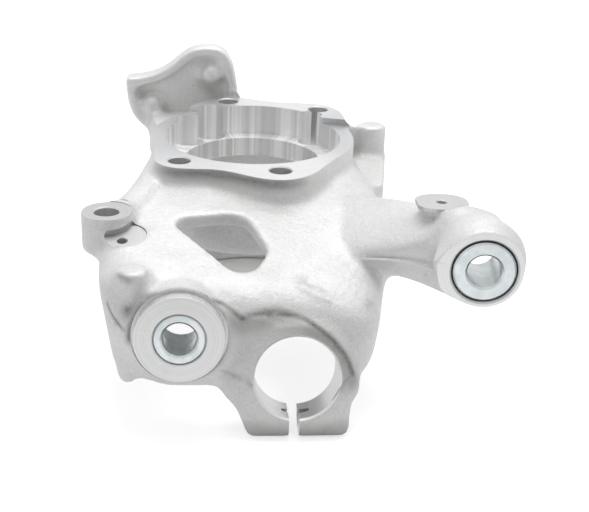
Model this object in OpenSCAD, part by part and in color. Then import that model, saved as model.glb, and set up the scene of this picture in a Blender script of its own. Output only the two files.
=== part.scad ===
// Steering knuckle: aluminium casting with a bolted hub flange, a split clamp and two bushes.
// Frame: the origin is the centre of the hub bore on the flange face. +Z leaves that face,
// the clamp and the bushes open towards -Y, and X runs across them. Millimetres.

/* [Hub flange] */
// Diameter of the upper hub bore
hub_bore_d = 100; // [90:1:106]
// Depth of the upper hub bore
hub_bore_depth = 14; // [10:0.5:18]
// Diameter of the hub bore below its ledge
hub_ledge_d = 78; // [66:1:84]
// Depth to which the lower hub bore is machined
hub_ledge_depth = 24; // [20:0.5:30]
// Outer diameter of the flange between its ears
flange_d = 116; // [114:1:122]
// Thickness of the flange
flange_t = 9; // [7:0.5:12]
// Pitch circle of the four hub bolts
bolt_circle_d = 121.6; // [119:0.2:124]
// Clearance hole of each hub bolt
bolt_hole_d = 12; // [10.5:0.5:12.5]
// Turn of the bolt pattern about the hub axis
pattern_turn = -15; // [-18:0.5:-12]
// Height of the raised rear half of the flange
pad_rise = 3.2; // [2:0.2:5]

/* [Body] */
// Wall thickness of the hollow body
wall_t = 7.5; // [6:0.5:9]
// Length of the hub barrel below the flange face
barrel_len = 52; // [46:1:58]

/* [Clamp] */
// Bore of the split clamp
clamp_bore_d = 40; // [36:0.5:42]
// Length of the clamp along its bore
clamp_len = 22; // [20:0.5:26]
// Lean of the clamp bore out of the flange plane
clamp_tilt = 11.8; // [8:0.2:14]
// Distance of the clamp face in front of the hub axis
clamp_reach = 161.7; // [158:0.5:166]
// Depth of the clamp centre below the flange face
clamp_drop = 66.3; // [64:0.5:68]
// Sideways place of the clamp bore
clamp_x = 16.7; // [14:0.5:20]
// Width of the slot that splits the clamp
slot_w = 4.9; // [4.4:0.1:6]
// Diameter of the pinch bolt hole
pinch_d = 8; // [6.5:0.5:8.5]

/* [Bushes] */
// Bore of both bush sleeves
sleeve_bore_d = 15.8; // [13:0.2:16.6]
// Outer diameter of the left sleeve
left_sleeve_d = 24.2; // [22:0.2:26]
// Length of the left bush
left_len = 34; // [30:0.5:38]
// Outer diameter of the left machined boss
left_boss_d = 42.4; // [40:0.2:45]
// Outer diameter of the right sleeve
right_sleeve_d = 28.6; // [26:0.2:31]
// Length of the right bush
right_len = 28; // [25:0.5:32]
// Thickness of the rubber round the right sleeve
rubber_t = 1.4; // [1:0.1:2.5]
// Depth of the rubber behind the ends of its sleeve
bush_recess = 3; // [1:0.5:5]
// Sideways place of the right bush
right_bush_x = 99.3; // [94:0.5:106]

/* [Ear and pads] */
// Sideways place of the side ear, to the left
ear_x = 75.1; // [72:0.5:80]
// Hole of the side ear
ear_hole_d = 12.5; // [10.5:0.5:13.5]
// Outer diameter of the side ear
ear_d = 25.4; // [23:0.2:28]
// Tapped hole of each small pad
pad_hole_d = 5; // [4.2:0.1:6]

/* [Hidden] */
fine = 72;
medium = 36;
small = 24;
cast_grey = [0.78, 0.79, 0.79];
steel_grey = [0.72, 0.75, 0.76];
rubber_black = [0.08, 0.08, 0.08];
over = 1;

// Hub: barrel wall, depths at which the bolt columns and relief bosses end, and their walls
barrel_wall = 4;
column_end = 24;
column_wall = 2.75;
relief_wall = 4.5;
relief_end = 25.2;
// Half angles between the two front bolts and between the two rear bolts
front_half = 27;
rear_half = 27.8;
bolt_angles = [
    -90 + pattern_turn - front_half, -90 + pattern_turn + front_half,
    90 + pattern_turn + rear_half, 90 + pattern_turn - rear_half
];
// How far each bolt ear swells the flange, and how sharply
ear_swell = [15, 18, 12, 12.5];
ear_sharp = [20, 13, 18, 16];
// Step between the front and the raised rear half
step_y = 36.6;
// Milled reliefs in the bore wall: angle, distance from the axis, floor height and diameter
reliefs = [[43, 49, -21, 14], [119, 49, -20, 17], [140, 47.8, -20, 17]];
// Ground level, and the rear skirt of the barrel that reaches it
floor_z = -97;
skirt_wall = 9;
skirt_top = -30;
skirt_cut = [[-12, -48], [43, -99]];

// Body: where it starts under the hub and where its front wall ends
body_y0 = -10;
body_y1 = -(clamp_reach - 4);
// Controls of the curves that its sides, top and bottom follow from hub to clamp
body_left = [56, 76, 88, 74];
body_right = [58, 82, 66, 57];
body_top = [-4, -8, -20, -31];
body_bottom = [-40, -66, -80, -76];
body_draft = 0.14;
// Sideways fall of its top at the front, left side high
body_fall = 0.11;
// Share of the way, inset and share of the length of the last rings, which round the front edge
body_nose = [[0.9, 0, 0.91], [0.95, 1.2, 0.955], [0.98, 4, 0.985], [1, 9, 1]];
cavity_drop = 60;
// Round corners of the window in its top: place and radius
window_spots = [[-35, -93.5, 6], [-14.5, -95, 11.5], [-5.5, -112.5, 9], [-9.5, -122, 8.5]];
window_depth = 60;

// Clamp: ring wall, rounded front edge, ears below the ring and pinch bolt place
clamp_wall = 7.5;
clamp_edge = [[0, 2.6], [1.2, 1.2], [3.4, 0]];
clamp_chamfer = 1;
clamp_block_z = 1.5;
clamp_block = [[-34, 0], [-34, 10], [-28.5, 15.5], [-25.5, 23], [-22.7, 30], [-22.7, 36],
    [25.5, 36], [26, 14.5], [30, 8], [30, 0]];
// Flush front wall between the clamp ring and the left boss: its outline round the clamp axis,
// with an upper edge of two arcs that meet in a notch
front_wall = [[-34, 8.2], [-38, 4.6], [-46, 3.2], [-60, 3.8], [-68, 2.2], [-75, -2], [-79.5, -12],
    [-80, -24], [-78, -32.6], [-72.4, -36.4], [-64.5, -38.6], [-54, -39.2], [-44.1, -37.9], [-36.2, -35],
    [-30.7, -31.2], [-25.6, -27.6], [-20, -28.6], [-13, -26], [0, -24], [0, 0], [-28, 12]];
front_wall_z = [2.2, 14];
slot_x = -1;
pinch_wall = 2.8;
front_lean = tan(clamp_tilt);
// How far bores and slot run on into the hollow body
run_on = 58;

// Bushes: centre of each front face, tilt or yaw of the axis
// How far the left and right faces stand out in front of the clamp face
bush_proud = [3.3, 0.3];
left_bush = [-37.7, -clamp_reach - bush_proud[0], -44.3];
left_tilt = 6;
right_bush = [right_bush_x, -clamp_reach - bush_proud[1], -11.5];
right_yaw = 6;
// Groove milled round the left boss, and the cast barrel behind it
groove_w = 1.5;
groove_depth = 6;
left_barrel_d = 45;
left_barrel_drop = 1.2;
left_barrel_z = 5;
right_housing_d = right_sleeve_d + 2 * rubber_t;
// Slices of the right boss: place along its axis, sideways, up and down, and radius over the bore
right_slices = [[0, 0, 0, 2], [0, -0.4, -1.8, 2.6], [0, -20.5, -3, -12.5], [0, -14.5, 6, -9],
    [11, 0, -1, 4.6], [26, -1, 0, 2.2]];
slice_t = 2;

// Ear, pads and posts: top centre of each, and their other sizes. The left pad's hole is off its centre
side_ear = [-ear_x, -94.4, -10];
side_ear_len = 20;
ear_hole_depth = 17;
left_pad = [10.1 - ear_x, -107, -17.7];
left_pad_tilt = 12;
left_pad_d = 20;
left_pad_depth = 14;
left_hole_depth = 12;
left_hole_at = [-1.6, -3.8];
right_pad = [right_bush_x - 11.8, -113.8, 4];
right_pad_d = 26;
right_pad_t = 1.8;
right_pad_cone = [11, 20.3];
right_pad_depth = 14;
pad_clear = 10;
post = [-60, -145, -18];
post_d = 15.6;
post_foot = -76;
rear_post = [71.8, 22, 1];
rear_post_d = 16.8;

// Arm to the right bush: its run along X, and the controls of its five edges
arm_x = [36, right_bush_x - 5.3];
arm_front = [-98, -128, -131, -138];
arm_rear = [-50, -56, -78, -112];
arm_low = [-46, -32, -37, -42];
arm_seam = [-34, -20, -17, -28];
arm_high = [-19, -14, -5, 3];
arm_draw = 0.8;
arm_slope = 0.2;

// Web to the side ear: the path of its middle, half width at both ends and half height
web_path = [[-50, -8, -14], [-55, -44, -14], [-56, -66, -18], [1.1 - ear_x, -94, -20]];
web_half = [7.5, 9.5];
web_high = 9;

// Bracket: front and rear face, pocket in the front, and the controls of its outline
bracket_y = [69, 84];
bracket_pocket = 6;
bracket_rim = 5.5;
bracket_round = 4;
bracket_top = [[-77.1, 13.8], [-42.2, 14.8], [-48.3, 34.3], [-25, 34.3]];
bracket_right = [[-25, 34.3], [-12.9, 34.3], [-8.8, 25.8], [-6.8, 1.8]];
bracket_left = [[-58.4, -21], [-70.6, -17], [-75.1, -8.2], [-76.2, 1.8]];
bracket_heel = [-5.8, -16];
bracket_bosses = [[-61.2, -3.6], [-24.1, 16.8]];
bracket_boss_d = 12;
bracket_boss_h = 5;
bracket_foot = [[-54, 70, 9], [-27, 76, 8], [-38, 24, 14]];
bracket_foot_z = [-34, -8];

// Ledge that carries the rear post: round corners, bottom and top
ledge_spots = [[64.5, -28, 8.5], [42, 0, 20]];
ledge_z = [-30, -17];
ledge_lip = 0.8;

// Curves and lofts

// Point or value at t on the cubic curve with four controls p
function cubic(p, t) =
    p[0] * pow(1 - t, 3) + 3 * p[1] * pow(1 - t, 2) * t + 3 * p[2] * (1 - t) * t * t + p[3] * pow(t, 3);

// Signed power, which squares off a circle's sine or cosine
function squared(v, n) = sign(v) * pow(abs(v), 2 / n);

// Closed ring of m points round centre c, half size a along u and b along v. It is squared off
// by n on the +u side and by n2 on the other
function ring(c, u, v, a, b, n, m = 32, n2 = 0) =
    [for (i = [0:m - 1]) let (t = 360 * (i + 0.5) / m, k = (n2 > 0 && cos(t) < 0) ? n2 : n)
        c + u * a * squared(cos(t), k) + v * b * squared(sin(t), k)];

// Flat closed outline with half sizes a and b, cornered by n
function oval(a, b, n, m = 56) =
    [for (i = [0:m - 1]) let (t = 360 * i / m) [a * squared(cos(t), n), b * squared(sin(t), n)]];

function centre_of(r) = [for (k = [0:2]) [for (p = r) p[k]] * [for (p = r) 1] / len(r)];

// Solid skin over a list of rings with equal point counts
module skin(rings) {
    m = len(rings[0]);
    last = len(rings) - 1;
    points = concat([for (r = rings) each r], [centre_of(rings[0]), centre_of(rings[last])]);
    a = len(points) - 2;
    b = len(points) - 1;
    sides = [for (k = [0:last - 1]) for (i = [0:m - 1]) let (j = (i + 1) % m)
        each [[k * m + i, (k + 1) * m + j, k * m + j], [k * m + i, (k + 1) * m + i, (k + 1) * m + j]]];
    caps = [for (i = [0:m - 1]) let (j = (i + 1) % m)
        each [[a, i, j], [b, last * m + j, last * m + i]]];
    polyhedron(points = points, faces = concat(sides, caps), convexity = 6);
}

// Body

// Ring of the body at s, from 0 under the hub to 1 at the front face, drawn in by inset
function body_ring(s, inset, y, drop = 0) =
    let (
        xl = -cubic(body_left, s) + inset, xr = cubic(body_right, s) - inset,
        zt = cubic(body_top, s) - inset, zb = cubic(body_bottom, s) + inset - drop,
        raw = ring([(xl + xr) / 2, y, (zt + zb) / 2], [1, 0, 0], [0, 0, 1],
                   (xr - xl) / 2, (zt - zb) / 2, 3.5 + s, 32, 3.5 + 4 * s)
    )
    [for (p = raw) let (
            depth = (cubic(body_top, s) - p[2]) / (cubic(body_top, s) - cubic(body_bottom, s)),
            taper = 1 - body_draft * s * depth)
        [p[0] * taper, p[1] + front_lean * s * s * (p[2] + clamp_drop),
            p[2] - body_fall * s * s * p[0] * (1 - depth)]];

module body_outer() {
    span = body_y1 - body_y0;
    skin(concat(
        [for (s = [0:0.12:0.84]) body_ring(s, 0, body_y0 + span * s)],
        [for (q = body_nose) body_ring(q[0], q[1], body_y0 + span * q[2])]
    ));
}

module body_cavity() {
    span = body_y1 - body_y0;
    skin([for (s = [0.15:0.15:0.9]) body_ring(s, wall_t, body_y0 + span * s, cavity_drop)]);
}

module window() {
    translate([0, 0, -window_depth]) linear_extrude(window_depth) hull()
        for (q = window_spots) translate([q[0], q[1]]) circle(q[2], $fn = small);
}

// Hub

// Flange radius at angle t, swelling into an ear at each bolt
function ear_at(t, i) = ear_swell[i] * pow(max(0, cos(t - bolt_angles[i])), ear_sharp[i]);
function flange_r(t) = flange_d / 2 + ear_at(t, 0) + ear_at(t, 1) + ear_at(t, 2) + ear_at(t, 3);

module flange_outline() {
    polygon([for (t = [0:5:355]) flange_r(t) * [cos(t), sin(t)]]);
}

module hub_solid() {
    translate([0, 0, -flange_t]) linear_extrude(flange_t) flange_outline();
    translate([0, 0, -flange_t]) linear_extrude(flange_t + pad_rise) intersection() {
        flange_outline();
        rotate(pattern_turn) translate([-flange_d, step_y]) square([2 * flange_d, flange_d]);
    }
    translate([0, 0, -barrel_len])
        cylinder(h = barrel_len - flange_t / 2, d = hub_bore_d + 2 * barrel_wall, $fn = fine);
    for (a = bolt_angles) rotate(a) translate([bolt_circle_d / 2, 0, -column_end])
        cylinder(h = column_end - flange_t / 2, d = bolt_hole_d + 2 * column_wall, $fn = medium);
    for (q = reliefs) rotate(q[0]) translate([q[1], 0, -relief_end])
        cylinder(h = relief_end - flange_t + over, d = q[3] + 2 * relief_wall, $fn = medium);
    rear_skirt();
}

// Rear of the barrel, drawn down to the ground and cut off aslant towards the front
module rear_skirt() {
    outer = hub_bore_d + 2 * barrel_wall - 1.5;
    difference() {
        translate([0, 0, floor_z]) cylinder(h = skirt_top - floor_z, d = outer, $fn = fine);
        translate([0, 0, floor_z - over]) cylinder(h = -floor_z, d = outer - 2 * skirt_wall, $fn = fine);
        translate([-hub_bore_d, 0, 0]) rotate([90, 0, 90]) linear_extrude(2 * hub_bore_d)
            polygon([[-outer, skirt_cut[0][1]], skirt_cut[0], skirt_cut[1], [-outer, skirt_cut[1][1]]]);
    }
}

module hub_cuts() {
    translate([0, 0, -hub_bore_depth])
        cylinder(h = hub_bore_depth + pad_rise + over, d = hub_bore_d, $fn = fine);
    translate([0, 0, -hub_ledge_depth - over]) cylinder(h = hub_ledge_depth, d = hub_ledge_d, $fn = fine);
    // below its machined end the lower bore is left as cast, a little wider
    translate([0, 0, -barrel_len - over])
        cylinder(h = barrel_len + over - hub_ledge_depth, d = hub_ledge_d + 2, $fn = fine);
    for (a = bolt_angles) rotate(a) translate([bolt_circle_d / 2, 0, -2 * column_end])
        cylinder(h = 2 * column_end + pad_rise + over, d = bolt_hole_d, $fn = medium);
    for (q = reliefs) rotate(q[0]) translate([q[1], 0, q[2]])
        cylinder(h = pad_rise + over - q[2], d = q[3], $fn = medium);
}

// Clamp

module at_clamp() {
    translate([clamp_x, -clamp_reach, -clamp_drop]) rotate([-90 - clamp_tilt, 0, 0]) children();
}

module clamp_solid() {
    ring_d = clamp_bore_d + 2 * clamp_wall;
    at_clamp() {
        for (k = [0:1]) translate([0, 0, clamp_edge[k][0]])
            cylinder(h = clamp_edge[k + 1][0] - clamp_edge[k][0], d1 = ring_d - 2 * clamp_edge[k][1],
                d2 = ring_d - 2 * clamp_edge[k + 1][1], $fn = fine);
        translate([0, 0, clamp_edge[2][0]])
            cylinder(h = clamp_len - clamp_edge[2][0], d = ring_d, $fn = fine);
        translate([0, 0, clamp_block_z]) linear_extrude(clamp_len - clamp_block_z) polygon(clamp_block);
        translate([0, 0, front_wall_z[0]]) linear_extrude(front_wall_z[1] - front_wall_z[0])
            polygon(front_wall);
    }
}

module clamp_cuts() {
    at_clamp() {
        translate([0, 0, -over]) cylinder(h = clamp_len + run_on, d = clamp_bore_d, $fn = fine);
        // chamfer at both ends of the bore
        translate([0, 0, -over]) cylinder(h = over + clamp_chamfer,
            d1 = clamp_bore_d + 2 * (clamp_chamfer + over), d2 = clamp_bore_d, $fn = fine);
        translate([0, 0, clamp_len - clamp_chamfer]) cylinder(h = over + clamp_chamfer,
            d1 = clamp_bore_d, d2 = clamp_bore_d + 2 * (clamp_chamfer + over), $fn = fine);
        translate([slot_x - slot_w / 2, 0, -clamp_len]) cube([slot_w, run_on, 2 * clamp_len + run_on]);
        translate([-run_on, clamp_bore_d / 2 + pinch_wall, clamp_len / 2]) rotate([0, 90, 0])
            cylinder(h = 2 * run_on, d = pinch_d, $fn = medium);
    }
}

// Bosses

module at_left_bush() {
    translate(left_bush) rotate([-90 - left_tilt, 0, 0]) children();
}

module at_right_bush() {
    translate(right_bush) rotate([0, 0, -right_yaw]) rotate([-90, 0, 0]) children();
}

module bosses() {
    at_left_bush() {
        cylinder(h = left_len, d = left_boss_d, $fn = fine);
        translate([0, left_barrel_drop, left_barrel_z])
            cylinder(h = left_len - left_barrel_z, d = left_barrel_d, $fn = fine);
    }
    at_right_bush() hull() for (q = right_slices) translate([q[1], q[2], q[0]])
        cylinder(h = slice_t, r = right_housing_d / 2 + q[3], $fn = medium);
    translate([post[0], post[1], post_foot]) cylinder(h = post[2] - post_foot, d = post_d, $fn = medium);
    translate([side_ear[0], side_ear[1], side_ear[2] - side_ear_len])
        cylinder(h = side_ear_len, d = ear_d, $fn = fine);
    translate(left_pad) rotate([left_pad_tilt, 0, 0]) translate([0, 0, -left_pad_depth])
        cylinder(h = left_pad_depth, d = left_pad_d, $fn = medium);
    translate(right_pad) {
        translate([0, 0, -right_pad_t]) linear_extrude(right_pad_t) intersection() {
            polygon(oval(right_pad_d / 2, right_pad_d * 0.41, 2.4));
            translate([-right_pad_d * 0.47, -right_pad_d]) square(2 * right_pad_d);
        }
        translate([1.5, 0, -right_pad_depth]) cylinder(h = right_pad_depth - right_pad_t / 2,
            d1 = right_pad_cone[0], d2 = right_pad_cone[1], $fn = medium);
    }
}

module boss_cuts() {
    at_left_bush() {
        translate([0, 0, -over]) cylinder(h = left_len + run_on, d = left_sleeve_d, $fn = fine);
        translate([0, 0, -groove_depth]) difference() {
            cylinder(h = 2 * groove_depth, d = left_boss_d + 2 * groove_w, $fn = fine);
            translate([0, 0, -over]) cylinder(h = 2 * (groove_depth + over), d = left_boss_d, $fn = fine);
        }
    }
    at_right_bush() translate([0, 0, -over])
        cylinder(h = right_len + run_on, d = right_housing_d, $fn = fine);
    translate([side_ear[0], side_ear[1], side_ear[2] - ear_hole_depth])
        cylinder(h = ear_hole_depth + over, d = ear_hole_d, $fn = medium);
    translate(left_pad) rotate([left_pad_tilt, 0, 0])
        translate([left_hole_at[0], left_hole_at[1], -left_hole_depth])
            cylinder(h = left_hole_depth + pad_clear, d = pad_hole_d, $fn = small);
    translate([right_pad[0], right_pad[1], right_pad[2] - right_pad_depth])
        cylinder(h = right_pad_depth + over, d = pad_hole_d, $fn = small);
}

// Arms

// Arm from the body out to the right bush
// Its section is widest at a seam, from which the underside draws in
function arm_ring(t) =
    let (
        front = cubic(arm_front, t), rear = cubic(arm_rear, t), half = (rear - front) / 2,
        low = cubic(arm_low, t), seam = cubic(arm_seam, t), high = cubic(arm_high, t),
        slope = arm_slope * (1 - t)
    )
    [for (p = ring([0, 0, 0], [0, 1, 0], [0, 0, 1], 1, 1, 4.5, 28))
        [arm_x[0] + (arm_x[1] - arm_x[0]) * t,
            (front + rear) / 2 + p[1] * (half + min(0, p[2]) * arm_draw * (seam - low)),
            seam + p[2] * (p[2] > 0 ? high - seam : seam - low) + slope * half * p[1] * max(0, p[2])]];

module right_arm() {
    skin([for (t = [0:0.125:1]) arm_ring(t)]);
}

// Web from the left of the hub down to the side ear
module ear_web() {
    skin([for (t = [0:0.2:1]) let (half = web_half[0] + (web_half[1] - web_half[0]) * t)
        ring(cubic(web_path, t), [1, 0.25, 0], [0, 0, 1], half, web_high, 3.5, 20)]);
}

// Bracket that stands up behind the left of the hub
module bracket() {
    profile = concat(
        [for (t = [0:0.1:1]) cubic(bracket_top, t)],
        [for (t = [0.2:0.2:1]) cubic(bracket_right, t)],
        [bracket_heel],
        [for (t = [0:0.2:1]) cubic(bracket_left, t)]
    );
    depth = bracket_y[1] - bracket_y[0];
    translate([0, bracket_y[1], 0]) rotate([90, 0, 0]) difference() {
        linear_extrude(depth) offset(1.5, $fn = small) offset(-1.5) polygon(profile);
        translate([0, 0, depth - bracket_pocket]) linear_extrude(bracket_pocket + over)
            offset(bracket_round, $fn = small) offset(-bracket_rim - bracket_round) polygon(profile);
    }
    for (q = bracket_bosses)
        translate([q[0], bracket_y[0] + bracket_pocket + over, q[1]]) rotate([90, 0, 0])
            cylinder(h = bracket_boss_h, d = bracket_boss_d, $fn = medium);
    translate([0, 0, bracket_foot_z[0]]) linear_extrude(bracket_foot_z[1] - bracket_foot_z[0]) hull()
        for (q = bracket_foot) translate([q[0], q[1]]) circle(q[2], $fn = small);
}

// Ledge and post behind the right of the hub
module rear_ledge() {
    translate([0, 0, ledge_z[0]]) linear_extrude(ledge_z[1] - ledge_z[0]) hull() {
        translate([rear_post[0], rear_post[1]]) circle(rear_post_d / 2 + ledge_lip, $fn = small);
        for (q = ledge_spots) translate([q[0], q[1]]) circle(q[2], $fn = small);
    }
    translate([rear_post[0], rear_post[1], ledge_z[0]])
        cylinder(h = rear_post[2] - ledge_z[0], d = rear_post_d, $fn = medium);
}

// Sub-parts

module casting() {
    color(cast_grey) difference() {
        union() {
            difference() {
                union() {
                    body_outer();
                    right_arm();
                }
                body_cavity();
                window();
            }
            hub_solid();
            clamp_solid();
            bosses();
            ear_web();
            bracket();
            rear_ledge();
        }
        hub_cuts();
        clamp_cuts();
        boss_cuts();
        // the part stands level on its clamp ears and skirt
        translate([-2 * clamp_reach, -2 * clamp_reach, 2 * floor_z])
            cube([4 * clamp_reach, 4 * clamp_reach, -floor_z]);
    }
}

module sleeve(outer, length) {
    difference() {
        cylinder(h = length, d = outer, $fn = fine);
        translate([0, 0, -over]) cylinder(h = length + 2 * over, d = sleeve_bore_d, $fn = fine);
    }
}

module left_sleeve() {
    color(steel_grey) at_left_bush() sleeve(left_sleeve_d, left_len);
}

module right_rubber() {
    color(rubber_black) at_right_bush() translate([0, 0, bush_recess]) difference() {
        cylinder(h = right_len - 2 * bush_recess, d = right_housing_d, $fn = fine);
        translate([0, 0, -over]) cylinder(h = right_len + over, d = right_sleeve_d, $fn = fine);
    }
}

module right_sleeve() {
    color(steel_grey) at_right_bush() sleeve(right_sleeve_d, right_len);
}

casting();
left_sleeve();
right_rubber();
right_sleeve();
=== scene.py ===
import math

import bmesh
import bpy
import numpy as np
import openvdb
from mathutils import Matrix, Vector


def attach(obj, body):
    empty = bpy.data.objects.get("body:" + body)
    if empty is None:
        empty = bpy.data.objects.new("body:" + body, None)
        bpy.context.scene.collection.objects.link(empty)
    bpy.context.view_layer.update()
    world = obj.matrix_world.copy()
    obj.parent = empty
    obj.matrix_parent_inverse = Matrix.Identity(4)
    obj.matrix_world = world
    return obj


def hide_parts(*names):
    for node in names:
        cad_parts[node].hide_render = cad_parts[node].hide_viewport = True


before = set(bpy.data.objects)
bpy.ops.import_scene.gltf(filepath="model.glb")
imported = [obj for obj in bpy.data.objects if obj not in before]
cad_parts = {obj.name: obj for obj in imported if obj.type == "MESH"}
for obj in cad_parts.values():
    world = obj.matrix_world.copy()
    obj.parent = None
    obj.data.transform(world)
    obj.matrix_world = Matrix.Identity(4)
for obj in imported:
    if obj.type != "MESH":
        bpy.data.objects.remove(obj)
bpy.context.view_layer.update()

# Cast finish. The knuckle is poured in aluminium and shot-blasted, which leaves a pale grey
# skin with a fine grain, soft waves and a few pits. It is darkened in the hollows as painted
# shade and brighter on the edges. It is dark with soot along joints and scratches, and dark
# with painted shade along the brow, under the flange and at the clamp's foot.
SKIN_DULL = (0.75, 0.755, 0.745)
SKIN_BRIGHT = (0.84, 0.845, 0.84)
SKIN_PATCH = (0.60, 0.605, 0.59)
GRAIN_BRIGHT = (0.95, 0.955, 0.96)
GRAIN_DARK = (0.52, 0.525, 0.52)
SPECK = (0.45, 0.45, 0.43)
PAINTED_HOLLOW_SHADE = (0.34, 0.34, 0.32)
ON_EDGE = (0.93, 0.935, 0.93)
SOOT_AND_PAINTED_SHADE = (0.11, 0.11, 0.10)
SKIN_DEPTH = 0.0005


class Link:
    """A shader socket that is used in sums like a number."""

    def __init__(self, finish, socket):
        self.finish = finish
        self.socket = socket

    def maths(self, operation, *values):
        return self.finish.node("Math", dict(operation=operation), dict(enumerate(values)))

    def __add__(self, other):
        return self.maths("ADD", self, other)

    def __radd__(self, other):
        return self.maths("ADD", other, self)

    def __sub__(self, other):
        return self.maths("SUBTRACT", self, other)

    def __rsub__(self, other):
        return self.maths("SUBTRACT", other, self)

    def __mul__(self, other):
        return self.maths("MULTIPLY", self, other)

    def __rmul__(self, other):
        return self.maths("MULTIPLY", other, self)

    def __pow__(self, other):
        return self.maths("POWER", self, other)

    def at_least(self, low):
        return self.maths("MAXIMUM", self, low)

    def at_most(self, high):
        return self.maths("MINIMUM", self, high)

    def between(self, low, high):
        """0 up to low, 1 from high on, and smooth in between."""
        return self.finish.node(
            "MapRange", dict(interpolation_type="SMOOTHSTEP", clamp=True),
            {"Value": self, "From Min": low, "From Max": high})


class Finish:
    """The nodes of one material, or of the world, added one by one."""

    def __init__(self, owner):
        self.owner = owner
        owner.use_nodes = True
        self.tree = owner.node_tree
        self.tree.nodes.clear()

    def node(self, kind, settings=None, sockets=None, out=0):
        made = self.tree.nodes.new("ShaderNode" + kind)
        for key, value in (settings or {}).items():
            setattr(made, key, value)
        for key, value in (sockets or {}).items():
            socket = made.inputs[key]
            if isinstance(value, Link):
                self.tree.links.new(value.socket, socket)
            elif socket.type == "RGBA":
                socket.default_value = (*value, 1)
            else:
                socket.default_value = value
        return Link(self, made.outputs[out]) if made.outputs else None

    def place(self):
        return self.node("TexCoord", out="Object")

    def vector(self, operation, *values, out="Vector"):
        return self.node("VectorMath", dict(operation=operation), dict(enumerate(values)), out)

    def noise(self, where, scale, detail, rough):
        return self.node("TexNoise", None, {"Vector": where, "Scale": scale, "Detail": detail,
                                            "Roughness": rough})

    def mix(self, factor, first, second):
        """Colour that goes from first to second as factor goes from 0 to 1."""
        return self.node("Mix", dict(data_type="RGBA"), {0: factor, 6: first, 7: second}, out=2)

    def bump(self, height, depth, strength):
        return self.node("Bump", None, {"Height": height, "Distance": depth,
                                        "Strength": strength})

    def end(self, kind, shader):
        self.node("Output" + kind, None, {"Surface": shader})
        return self.owner

    def surface(self, **values):
        """The finished material; Base_Color stands for the socket Base Color."""
        sockets = {key.replace("_", " "): value for key, value in values.items()}
        return self.end("Material", self.node("BsdfPrincipled", None, sockets))


def cast_aluminium():
    f = Finish(bpy.data.materials.new("cast_aluminium"))
    where = f.place()
    hollow = f.node("Attribute", dict(attribute_name="hollow"), out="Fac")
    soot_and_shade = f.node("Attribute", dict(attribute_name="soot_and_shade"), out="Fac")
    clouds = f.noise(where, 26, 4, 0.55)
    patches = f.noise(where, 95, 3, 0.6)
    grain = f.noise(where, 900, 3, 0.7)
    peel = f.noise(where, 340, 2, 0.5)
    waves = f.noise(where, 60, 2, 0.5)
    specks = f.noise(where, 520, 1, 0.5)
    tone = f.mix(clouds.between(0.35, 0.7), SKIN_DULL, SKIN_BRIGHT)
    tone = f.mix(patches.between(0.56, 0.8) * 0.25, tone, SKIN_PATCH)
    tone = f.mix(grain.between(0.50, 0.72) * 0.45, tone, GRAIN_BRIGHT)
    tone = f.mix((1 - grain).between(0.52, 0.75) * 0.4, tone, GRAIN_DARK)
    tone = f.mix(specks.between(0.70, 0.80) * 0.4, tone, SPECK)
    # painted shade: concave places, where the hollow field is above 0, are darkened
    tone = f.mix(hollow.between(0.05, 0.30) * 0.6, tone, PAINTED_HOLLOW_SHADE)
    tone = f.mix((0 - hollow).between(0.10, 0.32) * 0.5, tone, ON_EDGE)
    # dark attribute: soot along joints and scratches, and painted shade along the brow, under
    # the flange and at the clamp's foot
    tone = f.mix(soot_and_shade * (0.35 + grain * 0.9), tone, SOOT_AND_PAINTED_SHADE)
    height = grain * 0.4 + peel * 0.8 + waves * 1.1
    return f.surface(
        Base_Color=tone, Metallic=0.3, Roughness=0.48 + patches * 0.14 + soot_and_shade * 0.2,
        Normal=f.bump(height, SKIN_DEPTH, 0.9))


CAST = cast_aluminium()

# Rough casting. The blank as it leaves the mould: filleted inside corners, rounded edges,
# and stock over every face and bore that is machined later. It is shaped as a field of
# distances in mm round the CAD casting, and then turned back into a mesh.

# step of the grid in mm; in steps, the reach of true distances and the air round the part
VOXEL = 1.2
BAND = 8
MARGIN = 10
FILLET = 4.0
SMALL_FILLET = 2.0
ROUNDING = 3.0
STOCK = 2.0
BLUR = np.array([1, 4, 6, 4, 1], dtype=np.float32) / 16
HOLLOW_REACH = 6
HOLLOW_BOX = np.ones(7, dtype=np.float32) / 7

# base in mm and axis of each machined feature, with the angles that they stand at
CLAMP_TILT = math.radians(11.8)
LEFT_TILT = math.radians(6)
RIGHT_YAW = math.radians(6)
PAD_TILT = math.radians(12)
HUB = ((0, 0, 0), (0, 0, 1))
CLAMP = ((16.7, -161.7, -66.3), (0, math.cos(CLAMP_TILT), -math.sin(CLAMP_TILT)))
LEFT = ((-37.7, -165, -44.3), (0, math.cos(LEFT_TILT), -math.sin(LEFT_TILT)))
RIGHT = ((99.3, -162, -11.5), (math.sin(RIGHT_YAW), math.cos(RIGHT_YAW), 0))
EAR = ((-75.1, -94.4, -10), (0, 0, 1))
LEFT_PAD = ((-65, -107, -17.7), (0, -math.sin(PAD_TILT), math.cos(PAD_TILT)))
RIGHT_PAD = ((87.5, -113.8, 4), (0, 0, 1))

# flange: a disc with four ears, whose rear part stands higher behind a step across it
TURN = math.radians(-15)
FLANGE = 58
FLANGE_THICK = 6
STEP_Y = 36.6
RISE = 3.2
BOLT_ANGLES = [math.radians(a) for a in (-132, -78, 102.8, 47.2)]
BOLT_RADIUS = 60.8
# how far each ear stands out of the disc, and the power that makes it narrow
EAR_SWELL = (15, 18, 12, 12.5)
EAR_SHARP = (20, 13, 18, 16)
# reliefs in the hub bore: angle in degrees, distance from the axis, height of floor, width
RELIEFS = ((43, 49, -21, 14), (119, 49, -20, 17), (140, 47.8, -20, 17))
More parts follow.
